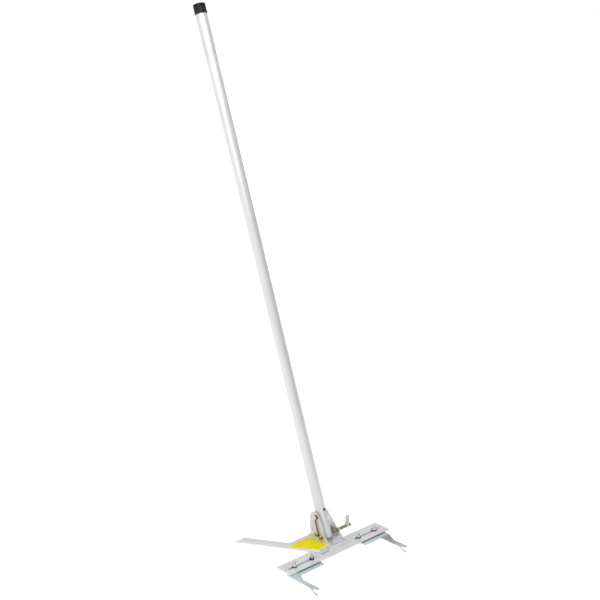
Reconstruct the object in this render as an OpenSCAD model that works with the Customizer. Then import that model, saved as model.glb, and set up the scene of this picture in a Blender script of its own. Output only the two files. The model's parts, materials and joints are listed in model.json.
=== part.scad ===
// Long-handled two-fork lifting tool: a round pole tilts on a flat head, whose two slotted
// fork plates slide along a crossbar. The head frame is +X along the crossbar, +Y back towards
// the tail and +Z up from the crossbar's top face. The part's origin is the grip point.

/* [Pole] */
// Outside diameter of the pole tube
pole_od = 28.6; // [25:0.1:34]
// Wall of the pole tube
pole_wall = 1.7; // [1.2:0.1:2.4]
// Length of the pole tube
pole_length = 1372; // [1100:1:1700]
// Backward lean of the pole from the head's upright
pole_lean = 20; // [14:0.5:22]
// Distance from the pole's lower end up to the pivot
pivot_from_end = 57.2; // [56.5:0.1:57.5]
// Distance from the pivot up the pole to the middle of the grip
grip_from_pivot = 1180; // [600:1:1250]

/* [Cap] */
// Depth of the push-on end cap
cap_length = 25; // [15:1:40]
// Wall of the end cap
cap_wall = 1.5; // [1:0.1:3]
// Thickness of the end cap's closed end
cap_end = 3; // [2:0.5:5]

/* [Plug] */
// Length of the plug inside the pole's lower end
plug_length = 96; // [86:1:140]
// Height of the plug screw above the pivot
plug_screw_height = 14; // [12:1:20]

/* [Crossbar] */
// Length of the crossbar
bar_length = 346; // [330:1:420]
// Width of the crossbar
bar_width = 50.8; // [46:0.1:60]
// Thickness of the crossbar
bar_thickness = 3.2; // [2.5:0.1:4]
// Y of the slots' centre line
slot_y = -4; // [-6:0.5:-3]
// Distance from the bar's middle to the centre of each slot's inner end
slot_inner = 70; // [60:1:72]
// Distance from the bar's middle to the centre of each slot's outer end
slot_outer = 156; // [153:1:158]
// Spacing of the scale marks stamped in the bar
mark_pitch = 5.7; // [5:0.1:7]

/* [Forks] */
// Thickness of the fork plates
fork_thickness = 3; // [2:0.1:4]
// How far the strips stand out in front of the bar's middle
strip_front = 38; // [34:0.5:42]
// Distance from the bolts to the strips' back edge
strip_back = 11; // [9:0.5:11]
// Distance between the two bolts of one fork
bolt_pitch = 57; // [50:1:60]
// X of the left fork's straight outer edge
left_edge = -175.5; // [-178:0.5:-172]
// Width of the left fork's arm at its root
left_root = 23.5; // [20:0.5:30]
// X of the right fork's straight inner edge
right_edge = 129.5; // [126:0.5:133]
// Width of the right fork's arm at its root
right_root = 27.5; // [22:0.5:32]
// Width of a fork arm at its waist
arm_waist = 13; // [11:0.2:17]
// Distance from the bar's middle to the jaw's centre
jaw_reach = 110; // [104:0.5:130]
// Radius of the jaw's round root
jaw_radius = 4.6; // [3.5:0.1:5.5]

/* [Foot plate and bracket] */
// Thickness of the foot plate
foot_thickness = 3; // [2:0.1:4]
// Y of the foot plate's front edge on the bar
foot_front = 3.5; // [2:0.5:5]
// Y of the foot plate's back edge
foot_back = 90.5; // [90:0.5:100]
// Y of the tail's end
tail_back = 189; // [150:1:240]
// Width of the tail along its end
tail_width = 33; // [26:1:44]
// Thickness of the index and gusset plates
plate_thickness = 3; // [2:0.1:4]
// X of the index plate's outer face
index_face = -5.5; // [-8:0.5:-4]
// X of the gusset plate's outer face
gusset_face = 52; // [50:0.5:60]
// Y of the pivot behind the bar's middle
pivot_back = 59; // [58:0.5:62]
// Height of the pivot above the crossbar's top face
pivot_height = 63.5; // [62:0.5:66]
// Distance from the pivot to the clamp bolt
clamp_radius = 51; // [48:0.5:51]
// Forward lean of the pole at the far end of the clamp slots
forward_lean = 5; // [0:1:8]

/* [Fasteners] */
// Diameter of the pivot, clamp and fork bolts
bolt_d = 6.35; // [5:0.05:7]
// Diameter of the hook wire
wire_d = 2.8; // [2:0.1:3]
// Outside diameter of the clamp bolt's spacer tubes
sleeve_d = 8.6; // [8:0.1:10]
// X of the outer spacer tube's outer end
sleeve_end = 81; // [72:1:92]
// Diameter of the rivets
rivet_d = 4.8; // [4:0.1:5.4]

/* [Clearances] */
// Radial clearance of a bolt that turns or slides in its hole
running_clearance = 0.07; // [0.03:0.01:0.1]
// Radial clearance of a bolt or rivet in a fixed hole
hole_clearance = 0.15; // [0.1:0.01:0.3]
// Gap between faces that slide on each other
face_gap = 0.1; // [0.05:0.01:0.2]

/* [Hidden] */
$fn = 64;

// a cut runs this far past the faces it opens
eps = 1;
bolt_r = bolt_d / 2;
washer_t = 1.4;
washer_r = 7.2;
small_washer_r = 6.2;
nut_t = 5.6;
nut_r = 5.8;
head_t = 3.6;
head_r = 5.2;
screw_r = 1.75;
screw_depth = 9;

pole_r = pole_od / 2;
// the pole runs beside the index plate's inner face, one thin washer away from it
side_washer_t = 0.8;
pole_x = index_face + plate_thickness + side_washer_t + 2 * face_gap + pole_r;
pivot = [pole_x, pivot_back, pivot_height];
// the grip point on the pole's axis is the part's origin
grip = pivot + grip_from_pivot * [0, sin(pole_lean), cos(pole_lean)];
tube_bottom = -pivot_from_end;
tube_top = tube_bottom + pole_length;

// places along X from the pole's axis
index_outer = index_face - pole_x;
index_inner = index_outer + plate_thickness;
gusset_outer = gusset_face - pole_x;
gusset_inner = gusset_outer - plate_thickness;
washer_x = index_outer - face_gap - washer_t;
wire_x = washer_x - wire_d / 2;
head_x = washer_x - wire_d;
stop_nut_x = pole_r + washer_t;
inner_sleeve_x = stop_nut_x + nut_t;
lever_seat = sleeve_end - pole_x;
lever_width = 8;
// the lever can back off this far before it meets the end nut
end_gap = 0.6;
end_nut_x = lever_seat + washer_t + lever_width + end_gap;
end_nut_t = 4.5;
clamp_bolt_end = end_nut_x + end_nut_t + 1.5;

bar_bottom = -bar_thickness;
bar_back = bar_width / 2;
foot_top = foot_thickness;
tab_top = foot_top + plate_thickness;
fork_bottom = bar_bottom - face_gap - fork_thickness;
slot_r = bolt_r + running_clearance;
nut_seat = face_gap + washer_t;
stud_top = 12;
clinch_r = 4.7;
clinch_t = 1.4;

// scale marks: five round ones left of the middle and finer ones right of it
mark_y = slot_y + 0.6;
mark_r = 2.2;
mark_depth = 0.8;
mark_start = 23.5;
left_marks = 5;
right_marks = 8;

// the left strip's end stands back from the arm's straight edge
strip_setback = 10;
jaw_centre = 1.2;
// places of the fork bolts along the bar, kept this far inside the strips' inner ends
strip_margin = 10.5;
left_outer_x = left_edge + 36.5;
left_inner_x = left_outer_x + bolt_pitch;
right_outer_x = right_edge + 9.5;
right_inner_x = right_outer_x - bolt_pitch;
left_bolts = [left_outer_x, left_inner_x];
right_bolts = [right_outer_x, right_inner_x];

// the foot plate's corners, its tail and its label
foot_left = -48.5;
foot_step = [-14, -7, 10];
tail_left = -167;
tail_root = -70.5;
label_t = 0.4;
label_right = index_face - 3.5;

// feet of the bracket plates, turned in towards the pole at the front and the back
tab_width = 15;
front_tab = [12, 33.5];
back_tab = [foot_back - 11, foot_back - 1];
tab_rivet_y = [17, 29, foot_back - 6];
index_rivet_x = index_face + plate_thickness + 5.5;
gusset_rivet_x = gusset_face - plate_thickness - 5.5;
foot_rivets = [[-36, foot_front + 5], [-17, foot_front + 5]];
rivet_r = rivet_d / 2;
rivet_head_r = rivet_r + 1.6;
rivet_head_t = 1.2;
rivet_tail_t = 1.4;

zinc = [0.66, 0.77, 0.79];
bright = [0.85, 0.83, 0.82];
alloy = [0.81, 0.82, 0.83];

// puts the head frame's solids in the part's frame
module place() translate(-grip) children();

// the pole's own frame: origin at the pivot, +Z up the pole, +Y to its back
module pole_frame() place() translate(pivot) rotate([-pole_lean, 0, 0]) children();

module clamp_frame() pole_frame() translate([0, 0, -clamp_radius]) children();

// a cylinder along +X from x0 to x1
module x_rod(r, x0, x1) translate([x0, 0, 0]) rotate([0, 90, 0]) cylinder(r = r, h = x1 - x0);

// a ring along +X, with a bore
module x_ring(r, bore, x0, x1) difference() {
    x_rod(r, x0, x1);
    x_rod(bore, x0 - eps, x1 + eps);
}

module x_hex(r, x0, x1) translate([x0, 0, 0]) rotate([0, 90, 0]) cylinder(r = r, h = x1 - x0, $fn = 6);

// lifts a shape drawn in Y and Z into a plate between x0 and x1
module yz_plate(x0, x1) translate([x0, 0, 0]) rotate([90, 0, 90]) linear_extrude(x1 - x0) children();

// points along an arc from one angle to another
function arc(c, r, from, to, steps = 12) = [for (i = [0:steps])
    let (a = from + (to - from) * i / steps) c + r * [cos(a), sin(a)]];

// outline in Y and Z of an arc slot about the pivot for a rod of radius r
function clamp_slot(r) = let (
    c = [pivot_back, pivot_height],
    front = 270 - pole_lean,
    back = 270 + forward_lean,
    end = function(a) c + clamp_radius * [cos(a), sin(a)]
) concat(
    arc(c, clamp_radius + r, front, back),
    arc(end(back), r, back, back + 180),
    arc(c, clamp_radius - r, back, front),
    arc(end(front), r, front + 180, front + 360));

// rings of a round wire that follows points in the Y-Z plane
module wire(path, r, sides = 12) {
    n = len(path);
    along = [for (i = [0:n - 1]) let (d = path[min(i + 1, n - 1)] - path[max(i - 1, 0)]) d / norm(d)];
    rings = [for (i = [0:n - 1]) for (k = [0:sides - 1]) let (
        a = 360 * k / sides,
        across = [-along[i][1], along[i][0]]
    ) [r * cos(a), path[i][0] + across[0] * r * sin(a), path[i][1] + across[1] * r * sin(a)]];
    caps = [[for (k = [0:sides - 1]) k], [for (k = [sides - 1:-1:0]) (n - 1) * sides + k]];
    walls = [for (i = [0:n - 2]) for (k = [0:sides - 1]) let (j = (k + 1) % sides)
        [i * sides + k, (i + 1) * sides + k, (i + 1) * sides + j, i * sides + j]];
    polyhedron(points = rings, faces = concat(caps, walls), convexity = 6);
}

module pole_tube() color([0.78, 0.79, 0.8]) pole_frame() difference() {
    translate([0, 0, tube_bottom]) cylinder(r = pole_r, h = pole_length);
    translate([0, 0, tube_bottom - eps]) cylinder(r = pole_r - pole_wall, h = pole_length + 2 * eps);
    x_rod(bolt_r + hole_clearance, -pole_od, pole_od);
    translate([0, 0, -clamp_radius]) x_rod(bolt_r + hole_clearance, -pole_od, pole_od);
    translate([0, 0, plug_screw_height]) rotate([90, 0, 0])
        cylinder(r = screw_r + hole_clearance, h = pole_od);
}

// a push-on cap with a rolled lip at its mouth
module pole_cap() color([0.05, 0.05, 0.055]) pole_frame()
    translate([0, 0, tube_top - cap_length + cap_end]) rotate_extrude() {
        bore = pole_r + running_clearance;
        skin = pole_r + cap_wall;
        edge = 2.5;
        lip = 0.5;
        polygon(concat(
            [[bore, 0], [skin + lip, 0], [skin + lip, 3], [skin, 4]],
            arc([skin - edge, cap_length - edge], edge, 0, 90, 8),
            [[0, cap_length], [0, cap_length - cap_end], [bore, cap_length - cap_end]]));
    }

module tube_plug() color([0.85, 0.84, 0.8]) pole_frame() difference() {
    translate([0, 0, tube_bottom + 1]) cylinder(r = pole_r - pole_wall - face_gap, h = plug_length);
    x_rod(bolt_r + hole_clearance, -pole_od, pole_od);
    translate([0, 0, -clamp_radius]) x_rod(bolt_r + hole_clearance, -pole_od, pole_od);
    translate([0, -pole_r + screw_depth, plug_screw_height]) rotate([90, 0, 0])
        cylinder(r = screw_r + hole_clearance, h = pole_od);
}

// a pan-head screw through the front of the tube into the plug
module plug_screw() color([0.2, 0.2, 0.21]) pole_frame()
    translate([0, -pole_r, plug_screw_height]) rotate([90, 0, 0]) {
        translate([0, 0, face_gap]) cylinder(r = 3.3, h = 1.6);
        translate([0, 0, eps - screw_depth]) cylinder(r = screw_r, h = screw_depth - eps + face_gap);
    }

module pivot_bolt() color(bright) pole_frame() {
    x_hex(head_r, head_x - head_t, head_x);
    x_rod(bolt_r, head_x, stop_nut_x + nut_t + 1.2);
}

module pivot_outer_washer() color([0.5, 0.48, 0.45]) pole_frame()
    x_ring(washer_r, bolt_r + hole_clearance, washer_x, washer_x + washer_t);

module pivot_inner_washer() color([0.7, 0.7, 0.7]) pole_frame() translate([index_inner + face_gap, 0, 0])
    x_ring(washer_r, bolt_r + hole_clearance, 0, side_washer_t);

// the lock nut and the washer under it
module pivot_lock_nut() color([0.72, 0.72, 0.7]) pole_frame() difference() {
    union() {
        x_rod(washer_r, pole_r, stop_nut_x);
        x_hex(nut_r, stop_nut_x, stop_nut_x + nut_t);
    }
    x_rod(bolt_r + running_clearance, pole_r - eps, stop_nut_x + nut_t + eps);
}

// a wire with an eye on the pivot bolt and a J that hooks round the clamp bolt's head
module hook_wire() color([0.28, 0.2, 0.15]) pole_frame() translate([wire_x, 0, 0]) {
    wire_r = wire_d / 2;
    eye_r = bolt_r + hole_clearance + wire_r;
    hook_r = 5.4;
    slant = asin((hook_r - eye_r) / clamp_radius);
    wire(concat(
        arc([0, 0], eye_r, 335, slant, 24),
        arc([0, -clamp_radius], hook_r, slant, -190, 16)), wire_r);
}

// the clamp bolt, with a small round head inside the hook
module clamp_bolt() color([0.5, 0.48, 0.43]) clamp_frame() {
    x_rod(3.8, head_x - 0.6, washer_x);
    x_rod(bolt_r, washer_x, clamp_bolt_end);
}

// washers outside the index plate, at the pole's far side and outside the gusset plate
module clamp_washers() color([0.7, 0.7, 0.68]) clamp_frame() {
    bore = bolt_r + hole_clearance;
    x_ring(small_washer_r, bore, washer_x, washer_x + washer_t);
    x_ring(small_washer_r, bore, pole_r, pole_r + washer_t);
    x_ring(washer_r, bore, gusset_outer + face_gap, gusset_outer + face_gap + washer_t);
}

// curved shoes on the clamp bolt that close the side plates' slots from the inside
module slot_shoe(x0, x1) yz_plate(x0, x1) difference() {
    half_width = 4.8;
    front = 262;
    back = 298;
    polygon(concat(
        arc([0, 0], clamp_radius + half_width, front, back),
        arc([0, 0], clamp_radius - half_width, back, front)));
    translate([0, -clamp_radius]) circle(r = bolt_r + hole_clearance);
}

module clamp_slot_shoes() color(alloy) pole_frame() {
    slot_shoe(index_inner + face_gap, index_inner + face_gap + side_washer_t);
    slot_shoe(gusset_inner - face_gap - washer_t, gusset_inner - face_gap);
}

module clamp_stop_nut() color([0.3, 0.29, 0.28]) clamp_frame() difference() {
    x_hex(nut_r, stop_nut_x, stop_nut_x + nut_t);
    x_rod(bolt_r + running_clearance, pole_r - eps, stop_nut_x + nut_t + eps);
}

// spacer tubes inside the gusset plate and outside it
module clamp_inner_sleeve() color([0.5, 0.46, 0.34]) clamp_frame()
    x_ring(sleeve_d / 2, bolt_r + hole_clearance, inner_sleeve_x, gusset_inner - face_gap - washer_t);

module clamp_outer_sleeve() color([0.5, 0.46, 0.34]) clamp_frame() {
    seat = gusset_outer + face_gap + washer_t;
    x_ring(sleeve_d / 2, bolt_r + hole_clearance, seat, lever_seat - face_gap);
}

module clamp_lever_washer() color(bright) clamp_frame()
    x_ring(sleeve_d / 2 + 1.2, bolt_r + running_clearance, lever_seat, lever_seat + washer_t - face_gap);

// a pressed nut with two thin ears that stand straight up at rest
module clamp_lever() color([0.86, 0.85, 0.82]) clamp_frame()
    translate([lever_seat + washer_t, 0, 0]) rotate([pole_lean, 0, 0]) difference() {
        hub_r = 5.4;
        ear_w = 3.8;
        ear_top = 29.5;
        ear_t = 1.5;
        union() {
            x_rod(hub_r, 0, lever_width);
            for (x = [0, lever_width - ear_t]) {
                translate([x, -ear_w, 0]) cube([ear_t, 2 * ear_w, ear_top - ear_w]);
                translate([0, 0, ear_top - ear_w]) x_rod(ear_w, x, x + ear_t);
            }
        }
        x_rod(bolt_r + running_clearance, -eps, lever_width + eps);
    }

module clamp_end_nut() color([0.2, 0.2, 0.2]) clamp_frame() difference() {
    x_hex(nut_r, end_nut_x, end_nut_x + end_nut_t);
    x_rod(bolt_r + running_clearance, end_nut_x - eps, end_nut_x + end_nut_t + eps);
}

// index plate: an upright side with a round back and top, on two feet turned in under the pole
module index_plate() color([0.8, 0.78, 0.64]) place() {
    inner = index_face + plate_thickness;
    difference() {
        union() {
            yz_plate(index_face, inner) difference() {
                polygon(concat(
                    [[front_tab[0], foot_top], [back_tab[1], foot_top], [back_tab[1], tab_top],
                     [80, 9], [84, 34]],
                    arc([66, 57], 18, -10, 150), [[38, 46], [30, 20], [16, tab_top]]));
                polygon(clamp_slot(slot_r));
                translate([72.5, 24.4]) circle(r = 2.6);
            }
            for (tab = [front_tab, back_tab]) translate([inner - eps, tab[0], foot_top])
                cube([tab_width - plate_thickness + eps, tab[1] - tab[0], plate_thickness]);
        }
        translate([0, pivot_back, pivot_height])
            x_rod(bolt_r + running_clearance, index_face - eps, inner + eps);
        for (y = tab_rivet_y) rivet_hole(index_rivet_x, y);
    }
}

// gusset plate: a leaning front edge, on two feet turned in towards the pole
module gusset_plate() color(alloy) place() {
    inner = gusset_face - plate_thickness;
    difference() {
        union() {
            yz_plate(inner, gusset_face) difference() {
                polygon(concat([[20.5, foot_top], [back_tab[1], foot_top], [back_tab[1], tab_top]],
                    arc([90, 63], 4, 0, 135), [[21.5, foot_top + 1]]));
                polygon(clamp_slot(slot_r));
            }
            for (tab = [[22, front_tab[1]], back_tab])
                translate([gusset_face - tab_width, tab[0], foot_top])
                    cube([tab_width - plate_thickness + eps, tab[1] - tab[0], plate_thickness]);
        }
        for (y = [tab_rivet_y[1], tab_rivet_y[2]]) rivet_hole(gusset_rivet_x, y);
    }
}

// a hole for a rivet, right through what it joins
module rivet_hole(x, y) translate([x, y, bar_bottom - eps])
    cylinder(r = rivet_r + hole_clearance, h = tab_top - bar_bottom + 2 * eps);

// a recess for the head of a flush rivet in the foot plate
module flush_recess(x, y) translate([x, y, foot_top - rivet_head_t])
    cylinder(r = rivet_head_r + hole_clearance, h = rivet_head_t + eps);

// the sheet that a rivet at y closes under: the bar, or the foot plate behind it
function rivet_base(y) = y < bar_back ? bar_bottom : 0;

module rivet(x, y, seat, flush) translate([x, y, 0]) {
    base = rivet_base(y);
    head = flush ? seat - rivet_head_t : seat;
    translate([0, 0, base]) cylinder(r = rivet_r, h = head - base);
    translate([0, 0, head]) cylinder(r = rivet_head_r, h = rivet_head_t);
    translate([0, 0, base - rivet_tail_t]) cylinder(r = rivet_r + 1, h = rivet_tail_t);
}

module bracket_rivets() color([0.6, 0.61, 0.62]) place() {
    for (y = tab_rivet_y) rivet(index_rivet_x, y, tab_top, false);
    for (y = [tab_rivet_y[1], tab_rivet_y[2]]) rivet(gusset_rivet_x, y, tab_top, false);
    rivet(gusset_rivet_x, tab_rivet_y[0], foot_top, true);
}

module foot_rivets() color([0.6, 0.61, 0.62]) place()
    for (p = foot_rivets) rivet(p[0], p[1], foot_top, true);

// foot plate: a flat sheet riveted on the bar's back half, with a tail running back to one side
module foot_plate() color(alloy) place() difference() {
    linear_extrude(foot_thickness) polygon([
        [foot_left, foot_front], [foot_step[0], foot_front], [foot_step[1], foot_step[2]],
        [gusset_face, foot_step[2]], [gusset_face, foot_back], [tail_root, foot_back],
        [tail_left + tail_width, tail_back], [tail_left, tail_back]]);
    for (y = tab_rivet_y) for (x = [index_rivet_x, gusset_rivet_x]) rivet_hole(x, y);
    flush_recess(gusset_rivet_x, tab_rivet_y[0]);
    for (p = foot_rivets) {
        rivet_hole(p[0], p[1]);
        flush_recess(p[0], p[1]);
    }
}

module yellow_label() color([0.87, 0.85, 0.05]) place() translate([0, 0, foot_top]) linear_extrude(label_t)
    polygon([[-41, 15.5], [label_right, 17.5], [label_right, 70], [label_right - 7.5, 79],
        [-75, 80], [-83, 72]]);

module slot_cut(from, to) translate([0, slot_y, bar_bottom - eps]) {
    through = bar_thickness + 2 * eps;
    for (x = [from, to]) translate([x, 0, 0]) cylinder(r = slot_r, h = through);
    translate([from, -slot_r, 0]) cube([to - from, 2 * slot_r, through]);
}

module crossbar() color([0.82, 0.83, 0.84]) place() difference() {
    translate([-bar_length / 2, -bar_width / 2, bar_bottom]) cube([bar_length, bar_width, bar_thickness]);
    slot_cut(-slot_outer, -slot_inner);
    slot_cut(slot_inner, slot_outer);
    for (i = [0:left_marks - 1]) translate([-mark_start - i * mark_pitch, mark_y, -mark_depth])
        cylinder(r = mark_r, h = mark_depth + eps);
    for (i = [0:right_marks - 1]) translate([mark_start - mark_pitch + i * mark_pitch, mark_y, -mark_depth])
        cylinder(r = mark_r / 2, h = mark_depth + eps, $fn = 24);
    for (x = [index_rivet_x, gusset_rivet_x]) rivet_hole(x, tab_rivet_y[0]);
    for (p = foot_rivets) rivet_hole(p[0], p[1]);
}

// outline of a fork arm whose straight edge is at u = 0, with v running forward of the bar
function fork_outline(root) = concat(
    [[strip_setback, -slot_y], [strip_setback, 12], [0, 16], [0, 96], [-3, 104],
     [-12.6, 129.5], [-12.4, 132.5], [-10.3, 134], [-8.6, 132], [0.2 - jaw_radius, jaw_reach + 3],
     [jaw_centre - jaw_radius, jaw_reach], [jaw_centre + jaw_radius, jaw_reach]],
    arc([jaw_radius + 5, jaw_reach + 2.5], 4, 165, 10, 8),
    [[arm_waist + 1.5, 103], [arm_waist + 1, 90], [arm_waist, 78], [arm_waist + 0.3, root * 2.55],
     [arm_waist + (root - arm_waist) * 0.45, root * 2.05], [root - 0.8, 44], [root, strip_front],
     [root, -slot_y]]);

// fork plate with its arm's straight edge at x = edge and its strip from x = from to x = to
module fork_plate(edge, root, from, to, bolts) translate([0, 0, fork_bottom]) difference() {
    linear_extrude(fork_thickness) union() {
        translate([edge, 0]) polygon([for (p = fork_outline(root)) [p[0], -p[1]]]);
        translate([from, -strip_front]) square([to - from, strip_front + slot_y + strip_back]);
    }
    translate([edge + jaw_centre, -jaw_reach, -eps]) cylinder(r = jaw_radius, h = fork_thickness + 2 * eps);
    for (x = bolts) translate([x, slot_y, -eps]) {
        cylinder(r = bolt_r + hole_clearance, h = fork_thickness + 2 * eps);
        cylinder(r = clinch_r + hole_clearance, h = clinch_t + eps);
    }
}

// clinch studs: flush heads in the fork plate's underside, and shanks up through the bar's slot
module fork_bolts(bolts) for (x = bolts) translate([x, slot_y, fork_bottom]) {
    cylinder(r = clinch_r, h = clinch_t);
    cylinder(r = bolt_r, h = stud_top - fork_bottom);
}

module fork_washer(x) translate([x, slot_y, face_gap]) difference() {
    cylinder(r = small_washer_r, h = washer_t - face_gap);
    translate([0, 0, -eps]) cylinder(r = bolt_r + running_clearance, h = washer_t + 2 * eps);
}

// a wing nut turned this far from having its wings along X
module wing_nut(x, turn) translate([x, slot_y, nut_seat]) rotate([0, 0, turn]) difference() {
    hub_h = 6;
    wing_t = 1.8;
    union() {
        cylinder(r = 4.8, h = 2.5);
        translate([0, 0, 2]) cylinder(r = 4.3, h = hub_h - 2);
        for (side = [-1, 1]) {
            translate([side * 5.6, 0, hub_h / 2 + 0.8]) cube([4.6, wing_t, hub_h - 2.2], center = true);
            translate([side * 8, wing_t / 2, 6.2]) rotate([90, 0, 0]) cylinder(r = 3.5, h = wing_t);
        }
    }
    translate([0, 0, -eps]) cylinder(r = bolt_r + running_clearance, h = 12);
}

module left_fork_plate() color(zinc) place()
    fork_plate(left_edge, left_root, left_edge + strip_setback, left_inner_x + strip_margin, left_bolts);
module right_fork_plate() color(zinc) place()
    fork_plate(right_edge, right_root, right_inner_x - strip_margin, right_edge + right_root, right_bolts);
module left_fork_bolts() color(bright) place() fork_bolts(left_bolts);
module right_fork_bolts() color(bright) place() fork_bolts(right_bolts);
module left_outer_washer() color(bright) place() fork_washer(left_outer_x);
module left_inner_washer() color(bright) place() fork_washer(left_inner_x);
module right_outer_washer() color(bright) place() fork_washer(right_outer_x);
module right_inner_washer() color(bright) place() fork_washer(right_inner_x);
module left_outer_wing_nut() color(bright) place() wing_nut(left_outer_x, 42);
module left_inner_wing_nut() color(bright) place() wing_nut(left_inner_x, 52);
module right_outer_wing_nut() color(bright) place() wing_nut(right_outer_x, -25);
module right_inner_wing_nut() color(bright) place() wing_nut(right_inner_x, 35);

pole_tube();
pole_cap();
tube_plug();
plug_screw();
pivot_bolt();
pivot_outer_washer();
pivot_inner_washer();
pivot_lock_nut();
hook_wire();
clamp_bolt();
clamp_washers();
clamp_slot_shoes();
clamp_stop_nut();
clamp_inner_sleeve();
clamp_outer_sleeve();
clamp_lever_washer();
clamp_lever();
clamp_end_nut();
index_plate();
gusset_plate();
bracket_rivets();
foot_plate();
foot_rivets();
yellow_label();
crossbar();
left_fork_plate();
left_fork_bolts();
left_outer_washer();
left_inner_washer();
left_outer_wing_nut();
left_inner_wing_nut();
right_fork_plate();
right_fork_bolts();
right_outer_washer();
right_inner_washer();
right_outer_wing_nut();
right_inner_wing_nut();
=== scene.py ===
import json
from math import cos, pi, radians, sin

import bpy
from mathutils import Matrix, Vector


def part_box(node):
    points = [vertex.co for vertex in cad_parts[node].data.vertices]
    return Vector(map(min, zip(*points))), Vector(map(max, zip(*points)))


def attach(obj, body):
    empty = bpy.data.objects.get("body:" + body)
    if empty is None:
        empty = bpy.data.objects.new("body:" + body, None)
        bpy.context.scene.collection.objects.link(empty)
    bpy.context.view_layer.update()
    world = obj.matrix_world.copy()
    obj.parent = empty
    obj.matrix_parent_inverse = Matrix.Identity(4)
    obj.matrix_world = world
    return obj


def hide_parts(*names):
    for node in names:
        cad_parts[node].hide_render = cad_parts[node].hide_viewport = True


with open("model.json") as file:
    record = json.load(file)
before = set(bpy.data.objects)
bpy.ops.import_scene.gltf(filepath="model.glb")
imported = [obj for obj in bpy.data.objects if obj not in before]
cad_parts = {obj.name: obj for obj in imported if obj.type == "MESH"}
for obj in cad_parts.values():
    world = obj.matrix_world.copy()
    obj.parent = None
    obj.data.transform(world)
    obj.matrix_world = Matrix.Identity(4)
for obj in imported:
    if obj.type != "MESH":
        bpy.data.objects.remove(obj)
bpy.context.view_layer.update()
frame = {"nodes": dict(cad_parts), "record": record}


# ---- Camera ----
# A long lens looks from the front left and a little above the grip, down the whole length of the
# pole. It stands about three metres off.
camera_data = bpy.data.cameras.new("view_camera")
camera_data.sensor_width = 36
camera_data.lens = 72.16
camera = bpy.data.objects.new("view_camera", camera_data)
camera.location = (-1.9243, -2.3823, 0.2645)
camera.rotation_euler = (radians(73.67), 0, radians(-43.06))
bpy.context.scene.collection.objects.link(camera)
bpy.context.scene.camera = camera


# ---- Floor and light ----
# A white floor under the head and a surround that is brighter on the left than on the right, so
# that the pole keeps a bright side and a grey side. Two soft boxes stand high on the left and above.
mm = 0.001
floor_gap = 0.3 * mm
floor_z = min(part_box(node)[0].z for node in frame["nodes"]) - floor_gap
bpy.ops.object.select_all(action="DESELECT")
bpy.ops.mesh.primitive_plane_add(size=24, location=(0, 0, floor_z))
floor = bpy.context.active_object
floor.name = "studio_floor"
floor_finish = bpy.data.materials.new("white_floor")
floor_finish.use_nodes = True
floor_shader = floor_finish.node_tree.nodes["Principled BSDF"]
floor_shader.inputs["Base Color"].default_value = (0.9, 0.9, 0.9, 1)
floor_shader.inputs["Roughness"].default_value = 0.9
floor_shader.inputs["Specular IOR Level"].default_value = 0.1
floor_shader.inputs["Emission Color"].default_value = (1, 1, 1, 1)
floor_shader.inputs["Emission Strength"].default_value = 0.45
floor.data.materials.append(floor_finish)

bright_side = Vector((-0.88, 0.1, 0.45)).normalized()
weakest_light = 0.42
strongest_light = 0.98
surround = bpy.data.worlds.new("white_surround")
bpy.context.scene.world = surround
surround.use_nodes = True
sky_nodes = surround.node_tree.nodes
sky_link = surround.node_tree.links.new
direction = sky_nodes.new("ShaderNodeTexCoord")
split = sky_nodes.new("ShaderNodeVectorMath")
split.operation = "DOT_PRODUCT"
split.inputs[1].default_value = bright_side
sky_link(direction.outputs["Generated"], split.inputs[0])
fall_off = sky_nodes.new("ShaderNodeMapRange")
fall_off.inputs["From Min"].default_value = -1
fall_off.inputs["From Max"].default_value = 1
fall_off.inputs["To Min"].default_value = weakest_light
fall_off.inputs["To Max"].default_value = strongest_light
sky_link(split.outputs["Value"], fall_off.inputs["Value"])
lit = sky_nodes["Background"]
lit.inputs["Color"].default_value = (1, 1, 1, 1)
sky_link(fall_off.outputs["Result"], lit.inputs["Strength"])
backdrop = sky_nodes.new("ShaderNodeBackground")
backdrop.inputs["Color"].default_value = (1, 1, 1, 1)
backdrop.inputs["Strength"].default_value = 1
seen = sky_nodes.new("ShaderNodeLightPath")
either = sky_nodes.new("ShaderNodeMixShader")
sky_link(seen.outputs["Is Camera Ray"], either.inputs["Fac"])
sky_link(lit.outputs["Background"], either.inputs[1])
sky_link(backdrop.outputs["Background"], either.inputs[2])
sky_link(either.outputs["Shader"], sky_nodes["World Output"].inputs["Surface"])
bpy.context.scene.view_settings.view_transform = "Standard"

lamp_target = Vector((0, 0, -0.5))
lamp_size = 0.9
for lamp_name, place, power in [
    ("soft_box_left", (-1.7, -1.0, 1.3), 7),
    ("top_light", (-0.3, -0.2, 1.3), 13),
]:
    lamp_data = bpy.data.lights.new(lamp_name, "AREA")
    lamp_data.shape = "SQUARE"
    lamp_data.size = lamp_size
    lamp_data.energy = power
    lamp = bpy.data.objects.new(lamp_name, lamp_data)
    lamp.location = Vector(place)
    aim = lamp_target - lamp.location
    lamp.rotation_euler = aim.to_track_quat("-Z", "Y").to_euler()
    bpy.context.scene.collection.objects.link(lamp)


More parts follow.
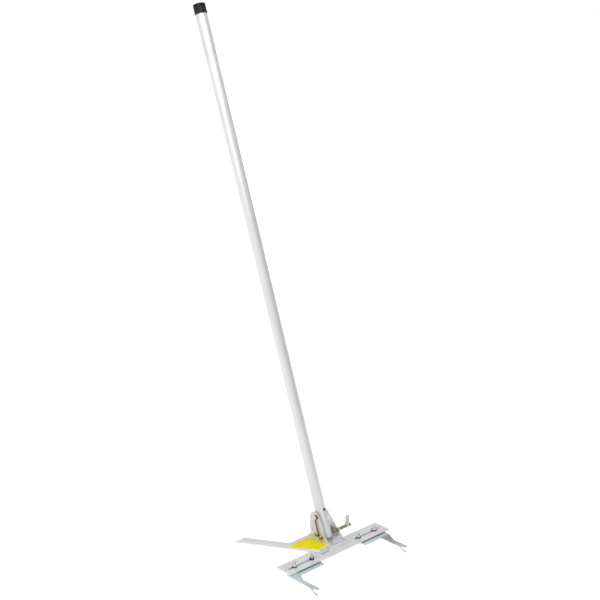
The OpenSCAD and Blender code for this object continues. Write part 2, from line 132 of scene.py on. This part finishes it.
# ---- Pole tube ----
# Stock 1-1/8 inch drawn aluminium tube with a satin surface. It is cut square, drilled through for
# the pivot and clamp bolts, and the saw burrs are broken off its rims.
def finish_of(name, light, dark, metallic, roughness, grain, patch=40, depth=0.15, turn=(0, 0, 0)):
    """A worked metal: patchy tint, grain lines stretched by grain, and gloss that follows the patches."""
    finish = bpy.data.materials.new(name)
    finish.use_nodes = True
    nodes = finish.node_tree.nodes
    link = finish.node_tree.links.new
    shader = nodes["Principled BSDF"]
    shader.inputs["Metallic"].default_value = metallic
    place = nodes.new("ShaderNodeTexCoord")
    lay = nodes.new("ShaderNodeMapping")
    lay.inputs["Rotation"].default_value = turn
    link(place.outputs["Object"], lay.inputs["Vector"])
    stretch = nodes.new("ShaderNodeMapping")
    stretch.inputs["Scale"].default_value = grain
    link(lay.outputs["Vector"], stretch.inputs["Vector"])

    lines = nodes.new("ShaderNodeTexNoise")
    lines.inputs["Scale"].default_value = 1
    lines.inputs["Detail"].default_value = 6
    lines.inputs["Roughness"].default_value = 0.65
    link(stretch.outputs["Vector"], lines.inputs["Vector"])
    patches = nodes.new("ShaderNodeTexNoise")
    patches.inputs["Scale"].default_value = patch
    patches.inputs["Detail"].default_value = 5
    patches.inputs["Distortion"].default_value = 0.4
    link(place.outputs["Object"], patches.inputs["Vector"])
    specks = nodes.new("ShaderNodeTexNoise")
    specks.inputs["Scale"].default_value = 900
    specks.inputs["Detail"].default_value = 2
    link(place.outputs["Object"], specks.inputs["Vector"])

    tint = nodes.new("ShaderNodeValToRGB")
    tint.color_ramp.elements[0].position = 0.34
    tint.color_ramp.elements[0].color = (*dark, 1)
    tint.color_ramp.elements[1].position = 0.62
    tint.color_ramp.elements[1].color = (*light, 1)
    link(patches.outputs["Fac"], tint.inputs["Fac"])
    shade = nodes.new("ShaderNodeMapRange")
    shade.inputs["From Min"].default_value = 0.3
    shade.inputs["From Max"].default_value = 0.7
    shade.inputs["To Min"].default_value = 0.86
    shade.inputs["To Max"].default_value = 1.0
    link(lines.outputs["Fac"], shade.inputs["Value"])
    grained = nodes.new("ShaderNodeMix")
    grained.data_type = "RGBA"
    grained.blend_type = "MULTIPLY"
    grained.inputs["Factor"].default_value = 1
    link(tint.outputs["Color"], grained.inputs[6])
    link(shade.outputs["Result"], grained.inputs[7])
    link(grained.outputs[2], shader.inputs["Base Color"])

    gloss = nodes.new("ShaderNodeMapRange")
    gloss.inputs["From Min"].default_value = 0.3
    gloss.inputs["From Max"].default_value = 0.7
    gloss.inputs["To Min"].default_value = roughness - 0.07
    gloss.inputs["To Max"].default_value = roughness + 0.09
    link(patches.outputs["Fac"], gloss.inputs["Value"])
    link(gloss.outputs["Result"], shader.inputs["Roughness"])

    relief = nodes.new("ShaderNodeMath")
    relief.operation = "MULTIPLY_ADD"
    relief.inputs[1].default_value = 0.3
    link(specks.outputs["Fac"], relief.inputs[0])
    link(lines.outputs["Fac"], relief.inputs[2])
    bump = nodes.new("ShaderNodeBump")
    bump.inputs["Strength"].default_value = depth
    bump.inputs["Distance"].default_value = 0.1 * mm
    link(relief.outputs["Value"], bump.inputs["Height"])
    link(bump.outputs["Normal"], shader.inputs["Normal"])
    return finish


def shade_towards(finish, colour, ranges):
    """Blends a finish towards a colour where its place is inside every (axis, none, full) range."""
    nodes = finish.node_tree.nodes
    link = finish.node_tree.links.new
    place = nodes.new("ShaderNodeTexCoord")
    split = nodes.new("ShaderNodeSeparateXYZ")
    link(place.outputs["Object"], split.inputs["Vector"])
    blend = nodes.new("ShaderNodeMix")
    blend.data_type = "RGBA"
    blend.inputs[7].default_value = (*colour, 1)
    amount = None
    for axis, none, full in ranges:
        fade = nodes.new("ShaderNodeMapRange")
        fade.inputs["From Min"].default_value = none
        fade.inputs["From Max"].default_value = full
        link(split.outputs[axis], fade.inputs["Value"])
        both = nodes.new("ShaderNodeMath")
        both.operation = "MULTIPLY"
        both.inputs[1].default_value = 1
        link(fade.outputs["Result"], both.inputs[0])
        if amount:
            link(amount, both.inputs[1])
        amount = both.outputs["Value"]
    link(amount, blend.inputs["Factor"])
    shader = nodes["Principled BSDF"]
    link(shader.inputs["Base Color"].links[0].from_socket, blend.inputs[6])
    link(blend.outputs[2], shader.inputs["Base Color"])


def pick(piece):
    """Selects one piece alone, ready for the next operator."""
    bpy.ops.object.select_all(action="DESELECT")
    piece.select_set(True)
    bpy.context.view_layer.objects.active = piece


def rounded_copy(node, name, edge, steps=2, smooth=32):
    """Copies a CAD node, joins its loose triangles into flats, and breaks its sharp edges."""
    piece = bpy.data.objects.new(name, frame["nodes"][node].data.copy())
    bpy.context.scene.collection.objects.link(piece)
    pick(piece)
    piece.data.materials.clear()
    bpy.ops.object.mode_set(mode="EDIT")
    bpy.ops.mesh.select_all(action="SELECT")
    bpy.ops.mesh.remove_doubles(threshold=0.002 * mm)
    bpy.ops.mesh.customdata_custom_splitnormals_clear()
    bpy.ops.mesh.dissolve_limited(angle_limit=radians(0.4))
    bpy.ops.object.mode_set(mode="OBJECT")
    if edge > 0:
        broken = piece.modifiers.new("broken_edges", "BEVEL")
        broken.width = edge * mm
        broken.segments = steps
        broken.limit_method = "ANGLE"
        broken.angle_limit = radians(35)
        broken.use_clamp_overlap = False
        bpy.ops.object.modifier_apply(modifier="broken_edges")
    bpy.ops.object.shade_smooth_by_angle(angle=radians(smooth))
    return piece


record = frame["record"]
body_of = {node: body for body, nodes in record["behaviour"]["bodies"].items() for node in nodes}


def fit(piece, node, finish, stands_for=True):
    """Gives a piece its finish and puts it on the body that carries its CAD node."""
    piece.data.materials.append(finish)
    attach(piece, body_of[node])
    if stands_for:
        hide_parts(node)


grip_axis = Vector(record["mounts"][0]["axis"])
lean = grip_axis.angle(Vector((0, 0, 1)))
satin_tube = finish_of("satin_tube", (0.83, 0.835, 0.84), (0.77, 0.775, 0.785), 0.75, 0.36,
                       (900, 900, 14), patch=9, depth=0.1, turn=(lean, 0, 0))
# Painted shade: the tube's colour is darkened towards its lower end, where it falls into shade.
painted_shade_from = -0.3
painted_shade_darkest_at = -1.16
shade_towards(satin_tube, (0.59, 0.595, 0.6), [("Z", painted_shade_from, painted_shade_darkest_at)])
fit(rounded_copy("pole_tube", "drawn_tube", 0.3), "pole_tube", satin_tube)


# ---- End cap ----
# A dip-moulded black vinyl cap, pushed over the top of the tube. It is soft and slightly glossy,
# with a rolled lip where it was stripped off the mould.
black_vinyl = finish_of("black_vinyl", (0.009, 0.009, 0.01), (0.005, 0.005, 0.006), 0, 0.36,
                        (500, 500, 500), patch=120, depth=0.25)
black_vinyl.node_tree.nodes["Principled BSDF"].inputs["Specular IOR Level"].default_value = 0.22
fit(rounded_copy("pole_cap", "vinyl_cap", 0.35, 3, 50), "pole_cap", black_vinyl)


# ---- Plug and its screw ----
# A turned nylon plug fills the tube's lower end so that the bolts can't crush it. A dark pan-head
# screw through the tube's front holds it, with a cross cut in its head.
nylon = finish_of("natural_nylon", (0.82, 0.8, 0.74), (0.74, 0.72, 0.66), 0, 0.5,
                  (120, 120, 900), patch=60, depth=0.2, turn=(lean, 0, 0))
nylon.node_tree.nodes["Principled BSDF"].inputs["Subsurface Weight"].default_value = 0.15
nylon.node_tree.nodes["Principled BSDF"].inputs["Subsurface Scale"].default_value = 2 * mm
fit(rounded_copy("tube_plug", "nylon_plug", 0.5), "tube_plug", nylon)
dark_steel = finish_of("oiled_dark_steel_and_painted_shade", (0.1, 0.1, 0.105), (0.05, 0.048, 0.048), 0.8, 0.38,
                       (400, 400, 400), patch=500, depth=0.2)


def cut_away(piece, cutter):
    """Takes the cutter's shape out of the piece and throws the cutter away."""
    pick(piece)
    cut = piece.modifiers.new("cut", "BOOLEAN")
    cut.operation = "DIFFERENCE"
    cut.object = cutter
    cut.solver = "EXACT"
    bpy.ops.object.modifier_apply(modifier="cut")
    bpy.data.objects.remove(cutter)


screw_low, screw_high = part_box("plug_screw")
screw = rounded_copy("plug_screw", "pan_head_screw", 0.75, 4)
screw_front = Vector(((screw_low.x + screw_high.x) / 2, screw_low.y, screw_low.z))
forward = Vector((0, -cos(lean), sin(lean)))
head_depth = 2.2 * mm
cross_length = 3.4 * mm
cross_width = 0.8 * mm
cutter_depth = 2 * mm
cutter_rise = 1.2 * mm
screw_head = [v.co.copy() for v in screw.data.vertices if (v.co - screw_front).dot(forward) > -head_depth]
head_middle = sum(screw_head, Vector()) / len(screw_head)
for across, down in [(cross_length, cross_width), (cross_width, cross_length)]:
    bpy.ops.object.select_all(action="DESELECT")
    bpy.ops.mesh.primitive_cube_add(size=1)
    cross = bpy.context.active_object
    cross.data.transform(Matrix.Diagonal((across, cutter_depth, down, 1)))
    cross.data.transform(Matrix.Rotation(-lean, 4, "X"))
    cross.data.transform(Matrix.Translation(head_middle + forward * cutter_rise))
    cut_away(screw, cross)
fit(screw, "plug_screw", dark_steel)


# ---- Pivot bolt and its nut ----
# A quarter-inch hex bolt with plain washers, on which the head tilts. The nut on its far side is a
# lock nut with a white nylon collar, done up just short of binding.
bolt_steel = finish_of("plated_bolt_steel", (0.74, 0.72, 0.68), (0.55, 0.53, 0.5), 0.95, 0.3,
                       (300, 300, 300), patch=420, depth=0.12)
bright_zinc = finish_of("bright_zinc", (0.86, 0.83, 0.82), (0.7, 0.67, 0.66), 0.85, 0.3,
                        (350, 350, 350), patch=380, depth=0.15)
fit(rounded_copy("pivot_bolt", "hex_pivot_bolt", 0.45, 3), "pivot_bolt", bolt_steel)
fit(rounded_copy("pivot_outer_washer", "pivot_outer_plain_washer", 0.25), "pivot_outer_washer", bright_zinc)
fit(rounded_copy("pivot_inner_washer", "pivot_inner_plain_washer", 0.15), "pivot_inner_washer", bright_zinc)
fit(rounded_copy("pivot_lock_nut", "pivot_lock_hex_nut", 0.45, 3), "pivot_lock_nut", bright_zinc)


def turned(name, profile, place, axis, steps=48):
    """Turns a closed profile of (radius, height) points, in millimetres, round an axis."""
    bpy.ops.object.select_all(action="DESELECT")
    bpy.ops.mesh.primitive_circle_add(vertices=len(profile))
    piece = bpy.context.active_object
    piece.name = name
    for corner, (radius, height) in zip(piece.data.vertices, profile):
        corner.co = Vector((radius, 0, height)) * mm
    bpy.ops.object.mode_set(mode="EDIT")
    bpy.ops.mesh.select_all(action="SELECT")
    bpy.ops.mesh.spin(steps=steps, angle=2 * pi, center=(0, 0, 0), axis=(0, 0, 1))
    bpy.ops.mesh.select_all(action="SELECT")
    bpy.ops.mesh.remove_doubles(threshold=0.01 * mm)
    bpy.ops.mesh.normals_make_consistent(inside=False)
    bpy.ops.object.mode_set(mode="OBJECT")
    bpy.ops.object.shade_smooth_by_angle(angle=radians(38))
    piece.data.transform(Vector((0, 0, 1)).rotation_difference(axis).to_matrix().to_4x4())
    piece.data.transform(Matrix.Translation(place))
    return piece


joints = {joint["name"]: joint for joint in record["behaviour"]["joints"]}
pivot = Vector(joints["head_tilt"]["pos_m"])
right = Vector((1, 0, 0))
bolt_radius = 3.175
collar_bore = bolt_radius + 0.15
collar_place = Vector((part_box("pivot_lock_nut")[1].x, pivot.y, pivot.z))
collar = turned("nylon_collar", [
    (collar_bore, -0.6), (4.7, -0.6), (4.7, 0.25), (4.3, 0.55), (collar_bore, 0.55)], collar_place, right)
fit(collar, "pivot_lock_nut", nylon, stands_for=False)


# ---- Hook wire ----
# A length of oiled spring wire, bent into an eye round the pivot bolt and a J round the clamp
# bolt's head. Its cut ends are rounded over.
dark_wire = finish_of("oiled_spring_wire", (0.075, 0.032, 0.02), (0.035, 0.015, 0.01), 0, 0.6,
                      (500, 60, 60), patch=160, depth=0.2)
dark_wire.node_tree.nodes["Principled BSDF"].inputs["Specular IOR Level"].default_value = 0.15
wire = rounded_copy("hook_wire", "spring_wire_hook", 0)
softer = wire.modifiers.new("round_section", "SUBSURF")
softer.levels = 1
softer.render_levels = 1
bpy.ops.object.modifier_apply(modifier="round_section")
bpy.ops.object.shade_smooth()
fit(wire, "hook_wire", dark_wire)


# ---- Clamp bolt and its fittings ----
# A long bolt across the slots of both side plates. A stop nut and bronze-coloured spacer tubes
# keep the plates apart, with washers at each face, and its far end is threaded for the lever.
def threaded(name, start, end, radius=3.17, pitch=1.27, depth=0.75, chamfer=0.7):
    """A stud with a real helical thread and a chamfered tip, rolled up from a grid."""
    length = (end - start).length / mm
    around = 28
    rows_in_a_turn = 6
    root_slope = 1.15
    rows = round(length / pitch * rows_in_a_turn)
    bpy.ops.object.select_all(action="DESELECT")
    bpy.ops.mesh.primitive_grid_add(x_subdivisions=around, y_subdivisions=rows, size=1)
    stud = bpy.context.active_object
    stud.name = name
    for v in stud.data.vertices:
        part_turn = v.co.x + 0.5
        height = (v.co.y + 0.5) * length
        phase = (height / pitch - part_turn) % 1
        r = radius - depth * min(1, root_slope * abs(2 * phase - 1))
        r = min(r, radius - chamfer + length - height)
        v.co = Vector((r * cos(2 * pi * part_turn), r * sin(2 * pi * part_turn), height)) * mm
    bpy.ops.object.mode_set(mode="EDIT")
    bpy.ops.mesh.select_all(action="SELECT")
    bpy.ops.mesh.remove_doubles(threshold=0.005 * mm)
    bpy.ops.mesh.select_all(action="DESELECT")
    bpy.ops.mesh.select_mode(type="EDGE")
    bpy.ops.mesh.select_non_manifold()
    bpy.ops.mesh.edge_face_add()
    bpy.ops.mesh.select_all(action="SELECT")
    bpy.ops.mesh.normals_make_consistent(inside=False)
    bpy.ops.object.mode_set(mode="OBJECT")
    bpy.ops.object.shade_smooth_by_angle(angle=radians(50))
    axis = (end - start).normalized()
    stud.data.transform(Vector((0, 0, 1)).rotation_difference(axis).to_matrix().to_4x4())
    stud.data.transform(Matrix.Translation(start))
    return stud


clamp = Vector(joints["lever_turn"]["pos_m"])
clamp_low, clamp_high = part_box("clamp_bolt")
head_end = Vector((clamp_low.x, clamp.y, clamp.z))
far_end = Vector((clamp_high.x, clamp.y, clamp.z))
thread_before_lever = 2 * mm
thread_start = Vector((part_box("clamp_lever")[0].x - thread_before_lever, clamp.y, clamp.z))
shank_length = (thread_start.x - clamp_low.x) / mm
shank = turned("clamp_bolt_shank", [
    (0, 0), (2.6, 0), (3.5, 0.5), (3.8, 1.4), (3.8, 3.2), (bolt_radius, 3.4), (bolt_radius, shank_length),
    (0, shank_length)], head_end, right)
fit(shank, "clamp_bolt", bolt_steel)
clamp_thread = threaded("clamp_bolt_thread", thread_start, far_end)
fit(clamp_thread, "clamp_bolt", dark_steel, stands_for=False)
fit(rounded_copy("clamp_washers", "clamp_plain_washers", 0.2), "clamp_washers", bright_zinc)
fit(rounded_copy("clamp_stop_nut", "clamp_stop_hex_nut", 0.45, 3), "clamp_stop_nut", dark_steel)
bronze = finish_of("passivated_spacer_tube", (0.43, 0.385, 0.25), (0.27, 0.24, 0.15), 0.7, 0.34,
                   (14, 700, 700), patch=110, depth=0.2)
fit(rounded_copy("clamp_slot_shoes", "curved_slot_shoes", 0.15), "clamp_slot_shoes", bronze)
fit(rounded_copy("clamp_inner_sleeve", "inner_spacer_tube", 0.3), "clamp_inner_sleeve", bronze)
fit(rounded_copy("clamp_outer_sleeve", "outer_spacer_tube", 0.3), "clamp_outer_sleeve", bronze)


# ---- Clamp lever ----
# A pressed steel nut with two thin upright ears for the fingers, bright zinc plated. It pushes a
# loose washer against the outer spacer tube, and a dark lock nut keeps it on the bolt.
fit(rounded_copy("clamp_lever", "eared_clamp_nut", 0.4, 3), "clamp_lever", bright_zinc)
fit(rounded_copy("clamp_end_nut", "clamp_end_hex_nut", 0.45, 3), "clamp_end_nut", dark_steel)
fit(rounded_copy("clamp_lever_washer", "clamp_nut_washer", 0.25), "clamp_lever_washer", bright_zinc)


# ---- Side plates ----
# The index plate is stamped steel with a pale yellow passivation, and the leaning gusset plate is
# mill aluminium. Each stands on feet folded in under the pole and riveted down.
yellow_zinc = finish_of("yellow_passivated_plate", (0.64, 0.63, 0.6), (0.6, 0.575, 0.49), 0.35, 0.42,
                        (60, 900, 60), patch=42, depth=0.2)
index_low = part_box("index_plate")[0]
# Painted reflection: the lower part of the plate's outer face is tinted cream for the yellow label's
# reflection.
label_reflection_top = index_low.z + 30 * mm
label_reflection_bottom = index_low.z + 2 * mm
label_reflection_inside = index_low.x + 3.6 * mm
label_reflection_outside = index_low.x + 3 * mm
shade_towards(yellow_zinc, (0.66, 0.625, 0.4), [
    ("Z", label_reflection_top, label_reflection_bottom), ("X", label_reflection_inside, label_reflection_outside)])
fit(rounded_copy("index_plate", "stamped_index_plate", 0.35), "index_plate", yellow_zinc)
mill_sheet = finish_of("mill_aluminium_sheet", (0.81, 0.815, 0.82), (0.74, 0.745, 0.755), 0.35, 0.42,
                       (700, 9, 700), patch=20, depth=0.16)
fit(rounded_copy("gusset_plate", "leaning_gusset_plate", 0.35), "gusset_plate", mill_sheet)


# ---- Foot plate and rivets ----
# One sheet of mill aluminium lies on the bar's back half and runs back to the tail. Solid rivets
# hold it and the side plates' feet to the bar, some of them set flush.
rivet_alloy = finish_of("closed_rivet_alloy", (0.72, 0.725, 0.73), (0.55, 0.555, 0.565), 0.8, 0.38,
                        (300, 300, 300), patch=300, depth=0.25)
fit(rounded_copy("foot_plate", "sheared_foot_plate", 0.3), "foot_plate", mill_sheet)
fit(rounded_copy("bracket_rivets", "side_plate_rivets", 0.8, 4, 40), "bracket_rivets", rivet_alloy)
fit(rounded_copy("foot_rivets", "foot_plate_rivets", 0.3, 2, 40), "foot_rivets", rivet_alloy)


# ---- Yellow label ----
# A blank sheet of bright yellow vinyl, stuck on the foot plate beside the index plate. It is
# glossy, with a little orange peel and faint rubs.
yellow_vinyl = finish_of("yellow_vinyl", (0.82, 0.72, 0.0), (0.75, 0.645, 0.0), 0, 0.5,
                         (260, 260, 260), patch=26, depth=0.1)
vinyl_shader = yellow_vinyl.node_tree.nodes["Principled BSDF"]
vinyl_shader.inputs["Specular IOR Level"].default_value = 0.12
vinyl_shader.inputs["Coat Weight"].default_value = 0.04
vinyl_shader.inputs["Coat Roughness"].default_value = 0.3
fit(rounded_copy("yellow_label", "blank_vinyl_label", 0.15), "yellow_label", yellow_vinyl)


# ---- Crossbar and its marks ----
# Two-inch flat aluminium bar with a long slot at each side. Only its outer edges are broken. Scale
# marks are punched in its top and filled with black paint, larger on the left than on the right.
mill_bar = finish_of("mill_aluminium_bar", (0.80, 0.805, 0.81), (0.73, 0.735, 0.745), 0.35, 0.42,
                     (10, 900, 900), patch=22, depth=0.16)
bar_low, bar_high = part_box("crossbar")
bar = rounded_copy("crossbar", "slotted_flat_bar", 0)
same_place = 0.01 * mm
outer = bar.data.attributes.new("bevel_weight_edge", "FLOAT", "EDGE")
for edge in bar.data.edges:
    ends = [bar.data.vertices[i].co for i in edge.vertices]
    at_corners = all(min(abs(end[i] - bar_low[i]), abs(end[i] - bar_high[i])) < same_place
                     for end in ends for i in range(3))
    along_one_axis = sum(abs(ends[0][i] - ends[1][i]) > same_place for i in range(3)) == 1
    outer.data[edge.index].value = float(at_corners and along_one_axis)
broken = bar.modifiers.new("broken_edges", "BEVEL")
broken.width = 0.35 * mm
broken.segments = 2
broken.limit_method = "WEIGHT"
bpy.ops.object.modifier_apply(modifier="broken_edges")
bpy.ops.object.shade_smooth_by_angle(angle=radians(32))
fit(bar, "crossbar", mill_bar)
mark_paint = finish_of("black_mark_paint", (0.03, 0.03, 0.032), (0.015, 0.015, 0.015), 0, 0.5,
                       (600, 600, 600), patch=700, depth=0.3)
bar_x = (bar_low.x + bar_high.x) / 2
marks_behind_studs = 0.6 * mm
mark_y = joints["left_outer_nut_turn"]["pos_m"][1] + marks_behind_studs
mark_floor = bar_high.z - 0.8 * mm
mark_spacing = 5.7
first_left_mark = -23.5
first_right_mark = 17.8
large_mark = [(0, -0.2), (2.19, -0.2), (2.19, 0.76), (1.7, 0.68), (0, 0.64)]
small_mark = [(0, -0.2), (1.09, -0.2), (1.09, 0.74), (0.8, 0.66), (0, 0.62)]
up = Vector((0, 0, 1))
for i in range(5):
    spot = Vector((bar_x + (first_left_mark - i * mark_spacing) * mm, mark_y, mark_floor))
    fit(turned(f"left_mark_paint_{i}", large_mark, spot, up, 24), "crossbar", mark_paint, stands_for=False)
for i in range(8):
    spot = Vector((bar_x + (first_right_mark + i * mark_spacing) * mm, mark_y, mark_floor))
    fit(turned(f"right_mark_paint_{i}", small_mark, spot, up, 16), "crossbar", mark_paint, stands_for=False)


# ---- Fork plates ----
# Cut steel plate, zinc plated with a cool blue passivation. A strip under the bar carries two studs,
# and an arm narrows to a jaw with a long and a short prong. The plating dulls towards the jaws and is
# rubbed grey on the right arm. A dark teal band on each strip beside the bar is a painted shadow of the
# bar.
blue_zinc = finish_of("blue_passivated_plate", (0.62, 0.73, 0.74), (0.53, 0.64, 0.655), 0.35, 0.38,
                      (80, 500, 80), patch=34, depth=0.2)
bar_front = bar_low.y
fork_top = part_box("left_fork_plate")[1].z
dull_jaws = ("Y", bar_front - 40 * mm, bar_front - 105 * mm)
shade_towards(blue_zinc, (0.5, 0.5, 0.495), [dull_jaws])
# Painted shadow: a dark teal band on each strip's top just in front of the bar, where the bar's shadow
# falls.
bar_shadow_front = ("Y", bar_front - 4.5 * mm, bar_front - 2.5 * mm)
bar_shadow_back = ("Y", bar_front + 1.5 * mm, bar_front + 0.5 * mm)
bar_shadow_left_end = ("X", bar_low.x + 20 * mm, bar_low.x + 26 * mm)
bar_shadow_on_top = ("Z", fork_top - 1 * mm, fork_top - 0.4 * mm)
shade_towards(blue_zinc, (0.06, 0.15, 0.18), [bar_shadow_front, bar_shadow_back, bar_shadow_left_end, bar_shadow_on_top])
rubbed_zinc = blue_zinc.copy()
rubbed_zinc.name = "rubbed_fork_plate"
rubbed_arm_back = ("Y", bar_front - 11 * mm, bar_front - 17 * mm)
rubbed_arm_front = ("Y", bar_front - 75 * mm, bar_front - 50 * mm)
shade_towards(rubbed_zinc, (0.33, 0.335, 0.3), [rubbed_arm_back, rubbed_arm_front])
fit(rounded_copy("left_fork_plate", "left_fork", 0.35), "left_fork_plate", blue_zinc)
fit(rounded_copy("right_fork_plate", "right_fork", 0.35), "right_fork_plate", rubbed_zinc)


# ---- Fork studs, washers and wing nuts ----
# Quarter-inch clinch studs, pressed in flush from under each fork, stand up through the bar's slot.
# A plain washer and a forged wing nut on each one lock the fork to the bar.
def wing_nut(name, seat, turn):
    """A forged wing nut: a tapered hub with a bore, and two rounded wings that flare upwards."""
    bore = bolt_radius + 0.07
    nut = turned(name, [
        (bore, 0), (4.6, 0), (4.8, 0.3), (4.8, 2), (4.3, 2.8), (4.0, 5.4), (3.7, 5.9), (bore, 6)],
        Vector(), up)
    wing_thickness = 1.8
    outline = [(3.3, 1.2), (6.6, 1.4), (9.8, 2.6), (11.2, 4.8), (11.35, 7.2), (10.2, 9.1), (8.2, 9.6),
               (6.4, 8.5), (5.6, 6.4), (4.9, 5.2), (3.3, 4.8)]
    parts = [nut]
    for half_turns in (0, 1):
        bpy.ops.object.select_all(action="DESELECT")
        bpy.ops.mesh.primitive_circle_add(vertices=len(outline), fill_type="NGON")
        wing = bpy.context.active_object
        for corner, (x, z) in zip(wing.data.vertices, outline):
            corner.co = Vector((x, -wing_thickness / 2, z)) * mm
        bpy.ops.object.mode_set(mode="EDIT")
        bpy.ops.mesh.select_all(action="SELECT")
        bpy.ops.mesh.extrude_region_move(TRANSFORM_OT_translate={"value": (0, wing_thickness * mm, 0)})
        bpy.ops.mesh.select_all(action="SELECT")
        bpy.ops.mesh.normals_make_consistent(inside=False)
        bpy.ops.object.mode_set(mode="OBJECT")
        forged = wing.modifiers.new("forged_edges", "BEVEL")
        forged.width = 0.55 * mm
        forged.segments = 3
        forged.limit_method = "ANGLE"
        forged.angle_limit = radians(60)
        bpy.ops.object.modifier_apply(modifier="forged_edges")
        bpy.ops.object.shade_smooth_by_angle(angle=radians(50))
        wing.data.transform(Matrix.Rotation(pi * half_turns, 4, "Z"))
        parts.append(wing)
    bpy.ops.object.select_all(action="DESELECT")
    for part in parts:
        part.select_set(True)
    bpy.context.view_layer.objects.active = nut
    bpy.ops.object.join()
    nut.data.transform(Matrix.Rotation(turn, 4, "Z"))
    nut.data.transform(Matrix.Translation(seat))
    return nut


# Painted shade: the left inner wing nut and its stud are dark at the hub and lighter from the wings up,
# where the light falls.
hub_shade_steel = finish_of("hub_steel_with_painted_shade", (0.1, 0.1, 0.105), (0.05, 0.048, 0.048), 0.6, 0.4,
                         (350, 350, 350), patch=380, depth=0.15)
hub_shade_top = ("Z", bar_high.z + 4.5 * mm, bar_high.z + 6.5 * mm)
shade_towards(hub_shade_steel, (0.55, 0.5, 0.49), [hub_shade_top])
stud_radius = 3.1
thread_length = 12
thread_overlap = 0.2
wing_turns = {"left_outer": 42, "left_inner": 52, "right_outer": -25, "right_inner": 35}
for side in ("left", "right"):
    studs_low, studs_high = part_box(f"{side}_fork_bolts")
    for place in ("outer", "inner"):
        name = f"{side}_{place}"
        centre = Vector(joints[f"{name}_nut_turn"]["pos_m"])
        base = Vector((centre.x, centre.y, studs_low.z))
        tip = Vector((centre.x, centre.y, studs_high.z))
        shank_top = (tip.z - base.z) / mm - thread_length
        head = turned(f"{name}_clinch_stud", [
            (0, 0.05), (3.9, 0.05), (4.1, 0), (4.5, 0), (4.7, 0.2), (4.7, 1.4), (stud_radius, 1.4),
            (stud_radius, shank_top), (0, shank_top)], base, up)
        fit(head, f"{side}_fork_bolts", bolt_steel, stands_for=place == "outer")
        stud = threaded(f"{name}_stud_thread", base + up * (shank_top - thread_overlap) * mm, tip)
        shaded_hub = name == "left_inner"
        fit(stud, f"{side}_fork_bolts", hub_shade_steel if shaded_hub else bolt_steel, stands_for=False)
        # Painted shade: the washers under the wing nuts take the dark steel finish to stand in for the
        # shade round the nut bases.
        fit(rounded_copy(f"{name}_washer", f"{name}_plain_washer", 0.25), f"{name}_washer", dark_steel)
        seat = Vector((centre.x, centre.y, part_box(f"{name}_wing_nut")[0].z))
        nut = wing_nut(f"{name}_forged_wing_nut", seat, radians(wing_turns[name]))
        fit(nut, f"{name}_wing_nut", hub_shade_steel if shaded_hub else bright_zinc)
